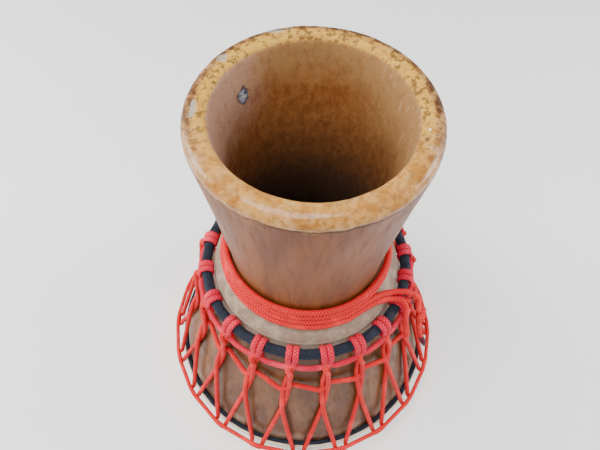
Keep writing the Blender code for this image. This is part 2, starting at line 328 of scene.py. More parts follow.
def shellZones(shell):
    # how much each vertex belongs to the hollow, the rim and so on, kept for the wear and the finish
    places = vertexPlaces(shell) / mm
    radius, height = np.hypot(places[:, 0], places[:, 1]), places[:, 2]
    foot = shellShape["foot"]
    middle = outsideRadius(height) - shellShape["halfWall"]
    mouthDeep, mouthRadius, mouthSoft = shellShape["mouth"]
    rimDeep, rimSoft = shellShape["rimZone"]
    cordHeight, cordReach = shellShape["cordZone"]
    inside = np.where(height > foot - mouthDeep, np.clip((mouthRadius - radius) / mouthSoft, 0, 1),
                      (radius < middle) * 1.0)
    rim = np.clip((height - (foot - rimDeep)) / rimSoft, 0, 1) * (1 - inside * 0.6)
    cords = np.clip(1 - np.abs(height - cordHeight) / cordReach, 0, 1)
    zones = {"inside": inside, "rim": rim, "whole": np.where(inside > 0.5, 0.8, 1.0 - 0.85 * cords)}
    for name, share in zones.items():
        group = shell.vertex_groups.new(name=name)
        for step in range(11):
            chosen = np.nonzero(np.round(share * 10) == step)[0]
            if step and len(chosen):
                group.add([int(i) for i in chosen], step / 10, "REPLACE")
    keepShare(shell, "insideWood", inside)


def makeShell():
    shell = turnedPiece("carvedShell", shellProfile(), shellShape["sides"])
    finishModifier(shell, "SUBSURF", levels=1, render_levels=1)
    shellZones(shell)
    for name, size, strength, group in shellShape["wobble"]:
        clouds = bpy.data.textures.new(name, "CLOUDS")
        clouds.noise_scale = size
        clouds.noise_depth = 2
        finishModifier(shell, "DISPLACE", texture=clouds, texture_coords="LOCAL", strength=strength,
                       mid_level=0.5, vertex_group=group)
    print("shell turned:", len(shell.data.polygons), "faces")
    return shell


# Head, rings and cords

skinShape = {
    "sides": 192,
    "roll": (135.37, 27.6, 2.6),        # middle and radius of the rolled edge, mm
    "inner": 133.3,
    "outer": 134.5,
    "thick": 1.2,
    "flat": (120, 100, 75, 50, 25, 6),  # radii of the rings of the playing side
}
ringShapes = [
    {"name": "headRingCloth", "node": "head_ring", "radius": 134.52, "height": 32.7, "thick": 2.2,
     "segments": 420, "wraps": 54, "round": 12, "lap": 0.18},
    {"name": "neckRingCloth", "node": "neck_ring", "radius": 93.26, "height": 187.0, "thick": 4.75,
     "segments": 480, "wraps": 41, "round": 24, "lap": 0.38},
]

# each turn of the strip laps over the one before it: start and end of the step, share of the lap
stripSteps = ((0.0, 0.12, 1.0), (0.12, 0.3, 0.55), (0.3, 0.55, 0.15), (0.82, 1.0, -0.6))
stripUneven = {"share": 0.12, "waves": 9}


def makeSkin():
    cx, cz, r = skinShape["roll"]
    inner, outer = skinShape["inner"], skinShape["outer"]
    profile = arcOf((cx, cz), r, 195, -62, 10)
    profile += [(outer + 0.3, 24.2), (outer, 22.0), (outer, 15.0), (outer, 8.5), (outer - 0.6, 5.2),
                (outer - 1.8, 3.0), (outer - 3.4, 1.1), (outer - 6.2, 0.0)]
    flat = skinShape["flat"]
    profile += [(radius, 0.0) for radius in flat]
    profile += [(radius, skinShape["thick"]) for radius in (*flat[::-1], inner - 4.0)]
    profile += [(inner - 2.2, 2.0), (inner - 1.0, 4.0), (inner - 0.2, 6.8), (inner, 9.5), (inner, 17.0)]
    skin = turnedPiece("goatskinHead", [(x * mm, z * mm) for x, z in profile], skinShape["sides"])
    # the turning leaves a small hole in the middle: its wall goes, and both sides are filled
    pickOnly(skin)
    switchTo("EDIT")
    bpy.ops.mesh.select_mode(type="FACE")
    bpy.ops.mesh.select_all(action="DESELECT")
    switchTo("OBJECT")
    for face in skin.data.polygons:
        face.select = face.center.xy.length < (flat[-1] + 0.5) * mm and abs(face.normal.z) < 0.5
    switchTo("EDIT")
    bpy.ops.mesh.delete(type="FACE")
    bpy.ops.mesh.select_all(action="SELECT")
    bpy.ops.mesh.fill_holes(sides=0)
    closeMesh()
    print("skin closed:", len(skin.data.polygons), "faces")
    return skin


def makeClothRing(shape):
    pickNone()
    bpy.ops.mesh.primitive_torus_add(
        major_radius=shape["radius"] * mm, minor_radius=shape["thick"] * mm,
        major_segments=shape["segments"], minor_segments=shape["round"], location=(0, 0, 0))
    ring = bpy.context.active_object
    ring.name = ring.data.name = shape["name"]
    places = vertexPlaces(ring)
    turn = np.arctan2(places[:, 1], places[:, 0]) / math.tau
    around = np.arctan2(places[:, 2], np.hypot(places[:, 0], places[:, 1]) - shape["radius"] * mm) / math.tau
    uneven = stripUneven["share"] * np.sin(turn * stripUneven["waves"] * math.tau)
    phase = (turn * shape["wraps"] + around + uneven) % 1.0
    for low, high, share in stripSteps:
        switchTo("EDIT")
        bpy.ops.mesh.select_mode(type="VERT")
        bpy.ops.mesh.select_all(action="DESELECT")
        switchTo("OBJECT")
        ring.data.vertices.foreach_set("select", (phase >= low) & (phase < high))
        switchTo("EDIT")
        bpy.ops.transform.shrink_fatten(value=-shape["lap"] * share * mm)
        switchTo("OBJECT")
    switchTo("EDIT")
    bpy.ops.mesh.select_all(action="SELECT")
    bpy.ops.transform.translate(value=(0, 0, shape["height"] * mm))
    switchTo("OBJECT")
    bpy.ops.object.shade_smooth()
    return ring


# mm, but for the relief, a share of the radius; fine and step are the spacing of a line's points
ropeShape = {"radius": 2.75, "lay": 10.4, "relief": 0.13, "fine": 0.25, "step": 0.9}
# how thin the pulled cords are drawn, as shares of the loose cord
pulledThin = {"hitchCord": 0.94, "crownCord": 0.80, "lacingCord": 0.86, "wovenCord": 0.88}


def eased(rows, wide):
    # a moving mean along the rows, which takes wide rows off each end
    kernel = np.ones(2 * wide + 1) / (2 * wide + 1)
    return np.stack([np.convolve(rows[:, k], kernel, mode="valid") for k in range(3)], axis=1)


def ropeLine(points, closed=False, bend=4.0, step=ropeShape["step"]):
    # the rope's middle in mm: straight runs between the points, rounded at the bends, evenly spaced
    rows = np.array(points, float)
    if closed:
        rows = np.vstack([rows, rows[:1]])
    for fine in (ropeShape["fine"], step):
        along = np.concatenate([[0], np.cumsum(np.linalg.norm(np.diff(rows, axis=0), axis=1))])
        count = max(8, round(along[-1] / fine))
        at = np.linspace(0, along[-1], count + 1)
        rows = np.stack([np.interp(at, along, rows[:, k]) for k in range(3)], axis=1)
        if fine != step:
            wide = max(1, round(bend / fine / 2))
            for again in range(2):
                if closed:
                    ring = rows[:-1]
                    padded = np.vstack([ring[-wide:], ring, ring[:wide]])
                else:
                    padded = np.vstack([2 * rows[0] - rows[wide:0:-1], rows,
                                        2 * rows[-1] - rows[-2:-wide - 2:-1]])
                rows = eased(padded, wide)
                if closed:
                    rows = np.vstack([rows, rows[:1]])
    return rows[:-1] if closed else rows


def braidedRope(name, line, closed=False, around=16, press=None, swell=None, thick=1.0):
    # a tube of eight braided strands along the line, pressed flat where press says
    count = len(line)
    if closed:
        ahead = np.roll(line, -1, 0) - np.roll(line, 1, 0)
    else:
        ahead = np.gradient(line, axis=0)
    ahead /= np.linalg.norm(ahead, axis=1)[:, None]
    side = np.cross(ahead[0], (0.0, 0.0, 1.0))
    if np.linalg.norm(side) < 0.1:
        side = np.cross(ahead[0], (1.0, 0.0, 0.0))
    first = side / np.linalg.norm(side)
    sides = np.zeros_like(line)
    side = first
    for i in range(count):
        side = side - ahead[i] * side.dot(ahead[i])
        side = side / np.linalg.norm(side)
        sides[i] = side
    across = np.cross(ahead, sides)
    length = np.linalg.norm(np.diff(line, axis=0), axis=1).sum()
    lays = max(1, round(length / ropeShape["lay"]))
    steps = np.arange(count) / (count if closed else count - 1)
    if closed:      # the tube's twist is spread along it, so that its ends meet
        last = side - ahead[0] * side.dot(ahead[0])
        twist = math.atan2(last.dot(np.cross(ahead[0], first)), last.dot(first))
        turn = -twist * steps
        sides, across = (sides * np.cos(turn)[:, None] + across * np.sin(turn)[:, None],
                         across * np.cos(turn)[:, None] - sides * np.sin(turn)[:, None])
    theta = np.arange(around) * math.tau / around
    one = 4 * theta[None] + math.tau * 4 * lays * steps[:, None]
    other = 4 * theta[None] - math.tau * 4 * lays * steps[:, None]
    over = 0.5 + 0.5 * np.clip(3 * np.cos(one / 2) * np.cos(other / 2), -1, 1)
    height = over * (0.5 + 0.5 * np.cos(one)) + (1 - over) * (0.5 + 0.5 * np.cos(other))
    relief = ropeShape["relief"]
    reach = ropeShape["radius"] * thick * (1 - relief + relief * 1.3 * height)
    if swell is not None:
        reach = reach * swell[:, None]
    offset = (reach[:, :, None] * (np.cos(theta)[None, :, None] * sides[:, None]
                                   + np.sin(theta)[None, :, None] * across[:, None]))
    if press is not None:
        normal, share = press(line)
        part = (offset * normal[:, None]).sum(2)[:, :, None] * normal[:, None]
        offset = (offset - part) * (share ** -0.25)[:, None, None] + part * share[:, None, None]
    places = ((line[:, None] + offset) * mm).reshape(-1, 3)
    rings = count if closed else count - 1
    i, j = np.meshgrid(np.arange(rings), np.arange(around), indexing="ij")
    k, m = (i + 1) % count, (j + 1) % around
    quads = np.stack([i * around + j, i * around + m, k * around + m, k * around + j], -1).reshape(-1, 4)
    faces = quads.tolist()
    if not closed:
        faces.append(list(range(around))[::-1])
        faces.append([(count - 1) * around + t for t in range(around)])
    data = bpy.data.meshes.new(name)
    data.from_pydata(places.tolist(), [], faces)
    data.polygons.foreach_set("use_smooth", [True] * len(faces))
    unwrapped = data.uv_layers.new(name="braid")
    share = 1.0 / (count if closed else count - 1)
    flat = np.stack([np.stack([i * share, j / around], -1), np.stack([i * share, (j + 1) / around], -1),
                     np.stack([(i + 1) * share, (j + 1) / around], -1),
                     np.stack([(i + 1) * share, j / around], -1)], 2).reshape(-1, 2)
    flat[:, 0] *= lays
    values = np.zeros((len(unwrapped.data), 2))
    values[:len(flat)] = flat
    unwrapped.data.foreach_set("uv", values.ravel())
    piece = bpy.data.objects.new(name, data)
    bpy.context.scene.collection.objects.link(piece)
    print(name, "is", round(length), "mm of cord,", 2 * len(quads), "triangles")
    return piece


# Places of the lacing, in mm and degrees. Its crossings and woven row lie higher than in the solids

laceShape = {
    "loops": 20,
    "touch": 5.8,                   # between the middles of two slack cords that touch
    "taut": 4.8,                    # the same for the lacing, pulled thin
    "near": 2.7,                    # from the wood to the middle of a strand on it
    "tautRows": 13,                 # points each way that a taut strand is evened over
    "tautFrom": (58, 20),           # height where that starts and its softness
    "tautTo": (5, 9),               # how far below the hitches it ends and its softness
    # degrees from the front, with how much higher the strands cross and are woven there
    "crossLift": ([-180, -90, -63, -45, -27, -9, 9, 27, 45, 63, 90, 180],
                  [10, 10, 11.5, 13, 11, 2, 2, 1, 12, 14, 11, 10]),
    "weaveLift": ([-180, -90, -63, -45, -27, -9, 9, 27, 45, 63, 90, 180],
                  [6, 7, 8, 8, 5, 2, 3, 5, 4, 5, 6, 6]),
    "crown": (145.27, 33.6),        # radius and height of the cord round the head
    "flat": 11.6,                   # width of a loop where it turns round that cord
    "line": (101.02, 173.0),        # cord that runs from hitch to hitch
    "slide": 4.5, "lag": 1.0,       # how far the hitches are pulled round the ring, degrees
    "ring": (93.26, 187.0),         # radius and height of the neck ring
    # heights, before the lifts, of the woven row and of where the strands part and cross below it
    "weave": 132.5, "swap": 117.2, "cross": 98.5,
    "lean": 0.95,                   # how much more the columns at the sides lean
}
loopStep = 360 / laceShape["loops"]


def polar(radius, degrees, height, aside=0.0):
    turn = math.radians(degrees) + aside / radius
    return (radius * math.cos(turn), radius * math.sin(turn), height)


def columnAt(index, share):
    # degrees of a column of lacing: its foot stays between two loops, its top follows the hitch
    middle = (index + 0.5) * loopStep
    slid = laceShape["slide"] * math.cos(math.radians(middle)) - laceShape["lag"]
    return -90 + middle + share * slid


def liftAt(key, index):
    # how much higher a column crosses or is woven, by its degrees from the front
    degrees, lifts = laceShape[key]
    middle = (index + 0.5) * loopStep
    return float(np.interp(middle - (360 if index >= laceShape["loops"] / 2 else 0), degrees, lifts))


def leanOf(index):
    return laceShape["lean"] * math.sin(math.radians((index + 0.5) * loopStep))


def weaveAt(index):
    # radius, height and share of the slide where a column is woven
    height = laceShape["weave"] + liftAt("weaveLift", index)
    return outsideRadius(height), height, 0.58 + leanOf(index)


def onRing(spot, aside, turn, reach):
    # a place beside the neck ring's section: turn 0 points outwards, 90 up
    ringRadius, ringHeight = laceShape["ring"]
    return polar(ringRadius + reach * math.cos(math.radians(turn)), spot,
                 ringHeight + reach * math.sin(math.radians(turn)), aside)


# one turn of cord: degrees round the ring's section and reach from its middle
ringTurn = ((-28, 7.2), (0, 6.75), (30, 6.7), (60, 6.7), (90, 6.6), (120, 6.4), (150, 6.0),
            (180, 5.7), (210, 5.9), (240, 6.4), (265, 6.9))


def hitchLine():
    # two turns round the ring at each hitch, crossed below it, then on to the next hitch
    lineRadius, lineHeight = laceShape["line"]
    points = []
    for i in range(laceShape["loops"]):
        spot = columnAt(i, 1)
        points.append(polar(lineRadius, spot, lineHeight, -11.5))
        points += [onRing(spot, -6.8, -60, 15.6), onRing(spot, -2.4, -52, 13.2), onRing(spot, 2.0, -42, 9.8)]
        points += [onRing(spot, 2.9, turn, reach) for turn, reach in ringTurn]
        points += [onRing(spot, 3.0, -76, 9.0), onRing(spot, 0.8, -62, 11.6), onRing(spot, -2.2, -46, 9.8)]
        points += [onRing(spot, -2.9, turn, reach) for turn, reach in ringTurn]
        points += [onRing(spot, -2.8, -76, 9.6), onRing(spot, -0.6, -68, 12.6), onRing(spot, 3.4, -63, 14.8)]
        points += [onRing(spot, 7.2, -61, 15.8), polar(lineRadius, spot, lineHeight, 11.5)]
    return ropeLine(points, closed=True, bend=2.6)


def pressOnRing(line):
    # wraps are pulled flat against the cloth ring
    ringRadius, ringHeight = laceShape["ring"]
    flatRadius = np.hypot(line[:, 0], line[:, 1])
    outwards = line[:, :2] / flatRadius[:, None]
    dx, dz = flatRadius - ringRadius, line[:, 2] - ringHeight
    reach = np.hypot(dx, dz)
    normal = np.stack([outwards[:, 0] * dx / reach, outwards[:, 1] * dx / reach, dz / reach], 1)
    share = np.clip(0.70 + (reach - 6.9) * 0.13, 0.42, 1.0)
    return normal, share


def crownLine():
    crownRadius, crownHeight = laceShape["crown"]
    points = [polar(crownRadius, -90 + i * loopStep, crownHeight, side * laceShape["flat"] / 2)
              for i in range(laceShape["loops"]) for side in (-1, 1)]
    return ropeLine(points, closed=True, bend=4.0)


def lacingLine():
    crownRadius, crownHeight = laceShape["crown"]
    lineRadius, lineHeight = laceShape["line"]
    touch, near, half = laceShape["taut"], laceShape["near"], laceShape["flat"] / 2
    far, apart = near + touch, 0.51 * touch
    points = []
    for i in range(laceShape["loops"]):
        loop = -90 + i * loopStep
        hitch = columnAt(i, 1)
        raised = liftAt("crossLift", i)
        heights = (laceShape["cross"] + raised, laceShape["swap"] + 0.75 * raised)
        cross, swap = ((outsideRadius(z), z) for z in heights)
        weave = weaveAt(i)
        for side, spot in ((1, loop), (-1, loop + loopStep)):
            strand = [
                polar(crownRadius, spot, crownHeight - 1.06 * touch, side * half),
                polar(crownRadius - 0.75 * touch, spot, crownHeight - 0.75 * touch, side * half),
                polar(crownRadius - touch, spot, crownHeight - 2.0, side * half),
                polar(crownRadius - 1.24 * touch, spot, crownHeight + 4.0, side * (half + 0.8)),
            ]
            behind = side > 0
            for (r, z), out, aside, share in ((cross, near if behind else far, 0.0, 0.3 + leanOf(i)),
                                              (swap, near if behind else far, side * apart, 0.42 + leanOf(i)),
                                              (weave[:2], far if behind else near, side * apart, weave[2])):
                strand.append(polar(r + out, columnAt(i, share), z, aside))
            if behind:      # over the front of the running cord
                strand += [polar(lineRadius + 4.6, hitch, lineHeight - 7.0, 0.8),
                           polar(lineRadius + 5.0, hitch, lineHeight - 2.5, -0.8),
                           polar(lineRadius + 4.8, hitch, lineHeight + 1.5, -2.6),
                           polar(lineRadius + 2.8, hitch, lineHeight + 4.6, -3.0)]
            else:           # crossed under the other strand and up behind it
                strand += [polar(lineRadius + 1.2, hitch, lineHeight - 8.5, -1.8),
                           polar(lineRadius + 0.2, hitch, lineHeight - 5.0, 0.8),
                           polar(lineRadius - 3.2, hitch, lineHeight - 1.6, 3.6),
                           polar(lineRadius - 2.4, hitch, lineHeight + 3.6, 3.4),
                           polar(lineRadius + 0.8, hitch, lineHeight + 6.0, 0.2)]
            points += strand if behind else strand[::-1]
    line = ropeLine(points, closed=True, bend=3.2, step=1.0)
    # between the bights at top and bottom the cord is pulled taut, in long easy bends
    wide = laceShape["tautRows"]
    straight = np.vstack([line[-2 * wide:], line, line[:2 * wide]])
    for again in range(2):
        straight = eased(straight, wide)
    (low, lowSoft), (below, highSoft) = laceShape["tautFrom"], laceShape["tautTo"]
    share = np.clip((line[:, 2] - low) / lowSoft, 0, 1)
    share = share * np.clip((lineHeight - below - line[:, 2]) / highSoft, 0, 1)
    return line + (straight - line) * share[:, None]


def weaveLine():
    touch, near = laceShape["taut"], laceShape["near"]
    points = []
    for i in range(laceShape["loops"]):
        radius, height, share = weaveAt(i)
        spot = columnAt(i, share)
        for aside, out, lift in ((-6.0, touch - 0.4, -1.8), (-3.2, touch, -1.4), (-0.4, 0.6 * touch, 0.2),
                                 (2.8, 0.0, 2.0), (6.0, 0.0, 3.0)):
            points.append(polar(radius + near + out, spot, height + lift, aside))
    return ropeLine(points, closed=True, bend=3.0, step=1.0)


neckShape = {
    "low": 205.5,           # height under the lowest turn
    "turns": 1.62, "turnPoints": 78,
    "leave": -60.0,         # degrees round where both strands leave the neck
    # radius of the doubled cord's turns at a few heights
    "turnRadius": ([208.4, 213.1, 217.8, 222.5, 227.2, 233.0], [77.3, 75.6, 74.2, 73.1, 72.5, 72.3]),
    # each way off the neck as (radius, degrees round, height)
    "routeLow": [(77.6, -62.0, 208.4), (76.9, -47.5, 207.0), (79.3, -38.5, 204.2), (85.0, -31.6, 201.0),
                 (92.3, -28.1, 199.5), (97.7, -27.3, 198.8), (101.2, -28.1, 196.5), (104.4, -29.2, 192.5),
                 (104.8, -29.9, 185.5), (107.3, -30.8, 177.5), (108.9, -31.3, 171.8), (112.3, -32.0, 163.0),
                 (113.6, -32.6, 158.0)],
    "routeHigh": [(75.7, -62.0, 214.4), (75.3, -47.2, 213.4), (76.7, -37.9, 209.8), (81.6, -30.6, 206.2),
                  (88.3, -25.3, 202.3), (96.9, -22.1, 200.5), (104.2, -20.6, 197.0), (109.7, -20.0, 191.0),
                  (111.3, -21.2, 184.0), (113.0, -22.1, 178.0)],
    "knot": {"at": (116.0, -21.3, 167.5), "radius": 4.6, "turns": 1.6, "deep": (-2.2, 3.4), "points": 19},
    "tail": [(117.8, -20.6, 155.0), (119.6, -20.4, 140.0), (122.6, -20.3, 126.0), (126.6, -20.6, 116.0),
             (133.0, -22.0, 107.0)],
    "burnt": 15.0,          # melted end of the tail
    "tip": ([0, 2.5, 6, 12, 16], [0.62, 0.98, 1.12, 1.04, 1.0]),    # mm from the end, share of thickness
}
stubEnd = {"burnt": 5.0, "step": 0.6, "tip": ([0, 1.0, 2.5, 6], [0.55, 0.85, 1.02, 1.0])}
stubShapes = [      # two melted ends that stick out between the tied strands
    {"name": "meltedEndUpper", "way": [(98.0, -25.6, 193.0), (101.5, -23.8, 192.0), (105.6, -22.2, 190.6)]},
    {"name": "meltedEndLower", "way": [(98.5, -24.6, 186.5), (102.0, -22.6, 185.8), (106.0, -21.0, 184.6)]},
]


def neckLine():
    touch = laceShape["touch"]
    turnsOf = {}
    for row in (0, 1):
        turnsOf[row] = []
        for i in range(neckShape["turnPoints"]):
            turn = neckShape["turns"] * i / (neckShape["turnPoints"] - 1)
            height = neckShape["low"] + (0.5 + row + 2 * turn) * touch
            turnsOf[row].append(polar(np.interp(height, *neckShape["turnRadius"]),
                                      neckShape["leave"] - 360 * turn, height))
    routes = (neckShape[key] for key in ("routeLow", "routeHigh", "tail"))
    low, high, tail = ([polar(*place) for place in route] for route in routes)
    knot = neckShape["knot"]
    radius, spot, height = knot["at"]
    last = knot["points"] - 1
    loop = []
    for i in range(knot["points"]):
        turn = math.radians(100) - math.tau * knot["turns"] * i / last
        deep = np.interp(i, (0, last), knot["deep"])
        loop.append(polar(radius + deep, spot, height + knot["radius"] * math.sin(turn),
                          knot["radius"] * math.cos(turn)))
    return ropeLine(low[::-1] + turnsOf[0][1:] + turnsOf[1][:0:-1] + high + loop + tail, bend=3.4)


def swollenTip(line, step, tip):
    return np.interp(np.arange(len(line))[::-1] * step, *tip)


def burnEnds(piece, line, length):
    # how much of the cord is melted, kept for its colour and shine
    around = len(piece.data.vertices) // len(line)
    left = np.linalg.norm(np.diff(line, axis=0), axis=1)[::-1].cumsum()[::-1]
    left = np.concatenate([left, [0]])
    keepShare(piece, "burnt", np.repeat(np.clip((length - left) / 3.0, 0, 1), around))


def makeNeckCord():
    path = neckLine()
    cord = braidedRope("neckCord", path, around=20,
                       swell=swollenTip(path, ropeShape["step"], neckShape["tip"]))
    burnEnds(cord, path, neckShape["burnt"])
    return cord


def makeStub(shape):
    path = ropeLine([polar(*place) for place in shape["way"]], bend=2.0, step=stubEnd["step"])
    stub = braidedRope(shape["name"], path, around=20,
                       swell=swollenTip(path, stubEnd["step"], stubEnd["tip"]))
    burnEnds(stub, path, stubEnd["burnt"])
    return stub


shellPiece = makeShell()
skinPiece = makeSkin()
headRing, neckRing = (makeClothRing(shape) for shape in ringShapes)
hitchPiece = braidedRope("hitchCord", hitchLine(), closed=True, press=pressOnRing,
                         thick=pulledThin["hitchCord"])
crownPiece = braidedRope("crownCord", crownLine(), closed=True, thick=pulledThin["crownCord"])
lacingPiece = braidedRope("lacingCord", lacingLine(), closed=True, around=14, thick=pulledThin["lacingCord"])
weavePiece = braidedRope("wovenCord", weaveLine(), closed=True, thick=pulledThin["wovenCord"])
neckPiece = makeNeckCord()
stubPieces = [makeStub(shape) for shape in stubShapes]
print("pieces modelled")


# Finishes

# innerTop, innerLilac and deep paint light and shade in the hollow; edge is pale wood, and also paints
# highlights on the bowl's top and on pale lines
woodLook = SimpleNamespace(**{
    "stem": (0.165, 0.044, 0.007), "stemPale": (0.26, 0.088, 0.019), "stemDark": (0.075, 0.018, 0.003),
    "rim": (0.47, 0.230, 0.060), "rimWorn": (0.52, 0.29, 0.036), "rimOrange": (0.33, 0.125, 0.018),
    "rimGrey": (0.52, 0.36, 0.20), "rimBrown": (0.055, 0.020, 0.005),
    "inner": (0.18, 0.054, 0.009), "innerPale": (0.32, 0.130, 0.034), "innerTop": (0.34, 0.190, 0.072),
    "innerLilac": (0.40, 0.24, 0.17), "deep": (0.014, 0.004, 0.0015),
    "shoulder": (0.24, 0.165, 0.115), "edge": (0.46, 0.36, 0.27),
    "bowl": (0.125, 0.040, 0.009), "bowlPale": (0.23, 0.095, 0.028), "bowlDark": (0.050, 0.014, 0.003),
    "filler": (0.24, 0.26, 0.31), "fillerPale": (0.58, 0.54, 0.47), "fillerEdge": (0.030, 0.028, 0.045),
})
woodSpots = [       # (place in mm, degrees, mm), size in mm, colour, strength
    ((79.0, -178.5, 388.8), (2.6, 9.0, 3.4), (0.34, 0.31, 0.26), 0.72),
    ((79.5, 145.0, 388.8), (4.0, 4.4, 3.4), (0.34, 0.31, 0.27), 0.6),
    ((80.5, 112.0, 388.6), (6.0, 2.6, 3.4), (0.34, 0.31, 0.27), 0.55),
    ((67.6, 139.8, 359.6), (2.1, 2.1, 2.8), (0.016, 0.022, 0.075), 0.9),
    ((75.0, -16.6, 389.3), (1.8, 2.6, 2.0), (0.10, 0.05, 0.03), 0.85),
    ((70.3, 4.7, 387.6), (1.4, 1.0, 1.4), (0.80, 0.78, 0.72), 0.9),
    ((75.6, -9.9, 389.3), (0.9, 1.3, 1.4), (0.80, 0.78, 0.72), 0.9),
]
fillerPatch = {
    "place": (68.2, 142.1, 357.9), "size": (5.0, 5.0, 6.4), "ragged": 1.7,
    # colour, where it starts and is full, as distances in the patch's size, and strength
    "layers": (("fillerEdge", 2.20, 1.90, 0.9), ("filler", 1.86, 1.66, 1.0),
               ("fillerPale", 1.50, 1.15, 0.85)),
}
spotEdge = {"ragged": 1.3, "from": 1.75, "full": 1.35}
woodZones = {       # where one finish runs into the next, in mm, from none of it to all of it
    "bowlFoot": (56.0, 40.0), "bowlTop": (170.0, 178.0), "overRing": (186.5, 189.5),
    "stemFoot": (203.0, 206.5), "scrapes": (368.0, 378.0),
    "lipEdge": (379.6, 380.8), "lipHeight": (376.0, 379.0),
    "grooveSide": (-55.0, 30.0), "rimOuter": (78.0, 81.4), "rimWorn": (84.4, 80.4), "mouth": (387.5, 384.5),
    "hollowTop": (344.0, 374.0), "right": (20.0, 62.0), "rightTop": (300.0, 350.0),
    "left": (-28.0, -62.0), "leftTop": (318.0, 352.0),
    "scratchSide": (30.0, 55.0), "scratchTop": (330.0, 350.0),
    "dark": (350.0, 235.0), "shine": (184.0, 190.0), "matteFrom": (188.0, 191.0), "matteTo": (207.0, 204.0),
    # from the front of the rim towards its back
    "brownBack": (-50.0, 5.0), "wornBack": (-45.0, 5.0), "speckBack": (-60.0, 10.0), "dullBack": (-50.0, 0.0),
}
woodPatterns = {    # scale, detail, roughness, stretch and shift
    "grain": (210.0, 5.0, 0.62, (1, 1, 0.055)),
    "streak": (46.0, 4.0, 0.6, (1, 1, 0.10), (0.3, 0.1, 0)),
    "broad": (13.0, 3.0, 0.5, (1, 1, 0.6), (0.7, 0.2, 0.1)),
    "fine": (900.0, 3.0, 0.6),
    "blotch": (85.0, 4.0, 0.6, (1, 1, 1), (0.1, 0.5, 0.3)),
    "patch": (34.0, 4.0, 0.62, (1, 1, 1), (0.9, 0.3, 0.8)),
    "speck": (210.0, 4.0, 0.72, (1, 1, 1), (0.4, 0.9, 0.2)),
    "fuzzy": (190.0, 5.0, 0.7, (1, 1, 0.5), (0.2, 0.6, 0.1)),
}
grooveHeight = 379.2
# pale lines by the neck ring and under the coil: painted highlight along the edges there, and wear
highlightAndWearLines = ((190.4, 1.3, 0.75), (204.6, 1.1, 0.65))      # height, half width in mm and strength


def spotDistance(tree, coords, place, size, ragged):
    # how far from a place on the piece, in shares of the spot's size, with a ragged edge
    where = tuple(value * mm for value in polar(*place))
    moved = addNode(tree, "VectorMath", {0: coords, 1: where}, operation="SUBTRACT")
    scaled = addNode(tree, "VectorMath", {0: moved.outputs[0], 1: tuple(s * mm for s in size)},
                     operation="DIVIDE")
    length = addNode(tree, "VectorMath", {0: scaled.outputs[0]}, operation="LENGTH")
    return calc(tree, "ADD", length.outputs["Value"], times(tree, mottle(tree, coords, 320.0, 3.0), ragged))


def woodPlaces(tree, coords):
    # places on the drum in mm, and the patterns that the wood's colours share
    apart = addNode(tree, "SeparateXYZ", {0: coords})
    x, y, z = (times(tree, apart.outputs[k], 1 / mm) for k in range(3))
    return SimpleNamespace(
        coords=coords, x=x, y=y, z=z,
        radius=calc(tree, "SQRT", calc(tree, "ADD", times(tree, x, x), times(tree, y, y))),
        inside=addNode(tree, "Attribute", attribute_name="insideWood").outputs["Fac"],
        **{name: mottle(tree, coords, *pattern) for name, pattern in woodPatterns.items()})



def zone(tree, value, name, start=0.0, end=1.0):
    return between(tree, value, *woodZones[name], start, end)


def stemColour(tree, wood, look):
    stem = tint(tree, between(tree, wood.streak, 0.38, 0.66), look.stemDark, look.stemPale)
    stem = tint(tree, 0.62, stem, look.stem)
    stem = tint(tree, times(tree, between(tree, wood.grain, 0.52, 0.72), 0.5), stem, look.stemDark)
    return tint(tree, times(tree, between(tree, wood.broad, 0.52, 0.72), 0.4), stem, look.stemPale)


def bowlColour(tree, wood, look):
    bowl = tint(tree, between(tree, wood.streak, 0.36, 0.68), look.bowlDark, look.bowlPale)
    bowl = tint(tree, 0.5, bowl, look.bowl)
    bowl = tint(tree, times(tree, between(tree, wood.grain, 0.50, 0.70), 0.55), bowl, look.bowlDark)
    # painted highlight: a pale band on the bowl's top, just under the neck ring, in the edge colour
    bowl = tint(tree, zone(tree, wood.z, "bowlTop", 0.0, 0.5), bowl, look.edge)
    foot = times(tree, zone(tree, wood.z, "bowlFoot", 0.0, 0.55), between(tree, wood.streak, 0.40, 0.60))
    return tint(tree, foot, bowl, look.edge)


def outsideColour(tree, wood, look):
    pale = times(tree, between(tree, wood.blotch, 0.42, 0.68), 0.6)
    shoulder = tint(tree, pale, look.shoulder, look.edge)
    outside = tint(tree, zone(tree, wood.z, "stemFoot"), shoulder, stemColour(tree, wood, look))
    outside = tint(tree, zone(tree, wood.z, "overRing"), bowlColour(tree, wood, look), outside)
    # pale lines: painted highlight along the edges, with wear
    for middle, half, strength in highlightAndWearLines:
        uneven = calc(tree, "ADD", middle, times(tree, wood.blotch, 1.2))
        off = calc(tree, "ABSOLUTE", calc(tree, "SUBTRACT", wood.z, uneven))
        outside = tint(tree, times(tree, between(tree, off, half, 0.2), strength), outside, look.edge)
    return outside


def chippedEdge(tree, wood, look, outside, lip):
    # the lip's lower edge: a dark broken line with pale scrapes under it
    scrape = mottle(tree, wood.coords, 55.0, 4.0, 0.65, (1, 1, 3.2), (0.6, 0.4, 0.2))
    scrape = times(tree, between(tree, scrape, 0.52, 0.62), zone(tree, wood.z, "scrapes"))
    outside = tint(tree, times(tree, scrape, 0.35), outside, look.rim)
    groove = between(tree, calc(tree, "ABSOLUTE", calc(tree, "SUBTRACT", lip, grooveHeight)), 1.7, 0.5)
    groove = times(tree, groove, zone(tree, wood.x, "grooveSide", 0.15, 1.0))
    groove = times(tree, groove, between(tree, wood.broad, 0.40, 0.56, 0.35, 1.0))
    return tint(tree, groove, outside, look.rimBrown)


